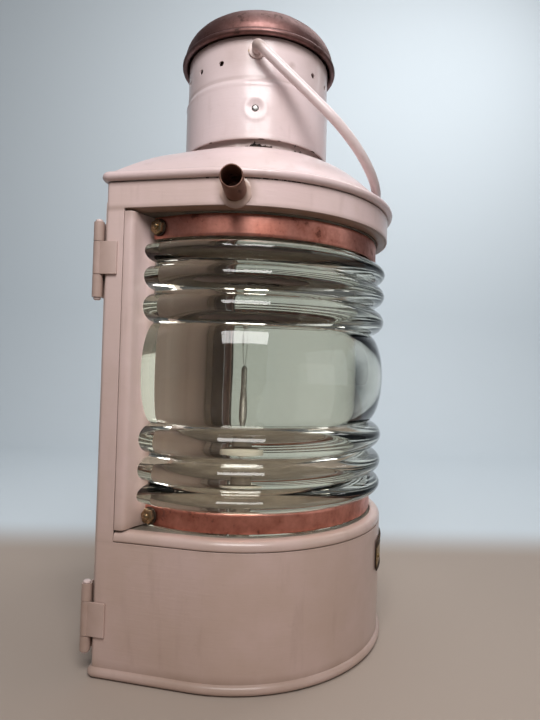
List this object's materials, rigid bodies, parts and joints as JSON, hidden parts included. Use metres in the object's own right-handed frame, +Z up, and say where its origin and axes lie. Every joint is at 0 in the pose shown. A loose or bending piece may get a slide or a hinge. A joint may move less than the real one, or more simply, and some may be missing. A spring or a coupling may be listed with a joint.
{
  "type": "ship lantern",
  "caption": "Masthead ship lantern with a D-shaped sheet metal body, ribbed drum lens, copper bands, conical hood, vented chimney, folding bail and hinged rear door.",
  "frame": {"origin": "on the lens axis, in the plane of the flat underside", "axes": "+Z up along the lens axis; -Y is the front, the middle of the lens; -X is the starboard side, with the side tube and the door hinges"},
  "size_m": [0.2407, 0.1804, 0.452],
  "materials": {
    "cream_paint": "old gloss paint, brushed on, chipped at edges",
    "inner_paint": "dull pale paint, sooted",
    "bright_copper": "worn bright copper with dark stains",
    "aged_copper": "brown weathered copper",
    "tube_copper": "rough cut copper pipe with patina",
    "dark_bronze": "dark tarnished bronze",
    "lens_glass": "clear thick moulded glass with a faint green tint",
    "bulb_glass": "clear blown glass",
    "lens_putty": "dull hardened putty",
    "brass": "aged brass",
    "porcelain": "glazed porcelain",
    "rusty_neck": "bare sheet steel, rusty and sooted",
    "steel": "dull steel"
  },
  "bodies": {
    "body": {"bail_bush_port": "brass", "bail_bush_starboard": "brass", "base_plate": "inner_paint", "body_shell": "cream_paint", "bulb_cap": "brass", "bulb_glass": "bulb_glass", "cap": "aged_copper", "cap_strap_1": "brass", "cap_strap_2": "brass", "cap_strap_3": "brass", "chimney": "cream_paint", "chimney_neck": "rusty_neck", "chimney_screw_port": "steel", "chimney_screw_starboard": "steel", "filament_stem": "steel", "hood": "cream_paint", "jamb_port": "cream_paint", "jamb_starboard": "cream_paint", "lamp_pedestal": "inner_paint", "lamp_socket": "porcelain", "latch_keeper": "brass", "lens": "lens_glass", "lens_seal_port": "lens_putty", "lens_seal_starboard": "lens_putty", "lower_band": "bright_copper", "lower_band_screw_port": "dark_bronze", "lower_band_screw_starboard": "dark_bronze", "lower_deck": "inner_paint", "lower_hinge_body_leaf": "cream_paint", "lower_hinge_pin": "steel", "nameplate": "brass", "nameplate_rivet_port": "brass", "nameplate_rivet_starboard": "brass", "side_tube": "tube_copper", "sill_ring": "cream_paint", "soffit_ring": "cream_paint", "upper_band": "bright_copper", "upper_band_screw_port": "dark_bronze", "upper_band_screw_starboard": "dark_bronze", "upper_deck": "inner_paint", "upper_hinge_body_leaf": "cream_paint", "upper_hinge_pin": "steel"},
    "bail": {"bail_handle": "cream_paint"},
    "door": {"rear_door": "cream_paint", "upper_hinge_door_leaf": "cream_paint", "lower_hinge_door_leaf": "cream_paint", "latch_screw": "steel"},
    "latch": {"latch_button": "brass"}
  },
  "joints": [
    {"name": "bail_swing", "type": "hinge", "parent": "body", "child": "bail", "pos_m": [0, -0.0043, 0.4065], "axis": [-0.9763, -0.2164, 0], "range_deg": [0, 235]},
    {"name": "door_swing", "type": "hinge", "parent": "body", "child": "door", "pos_m": [-0.1049, 0.067, 0.15], "axis": [0, 0, 1], "range_deg": [0, 170]},
    {"name": "latch_turn", "type": "hinge", "parent": "door", "child": "latch", "pos_m": [0.084, 0.067, 0.15], "axis": [0, -1, 0], "range_deg": [0, 90]}
  ]
}
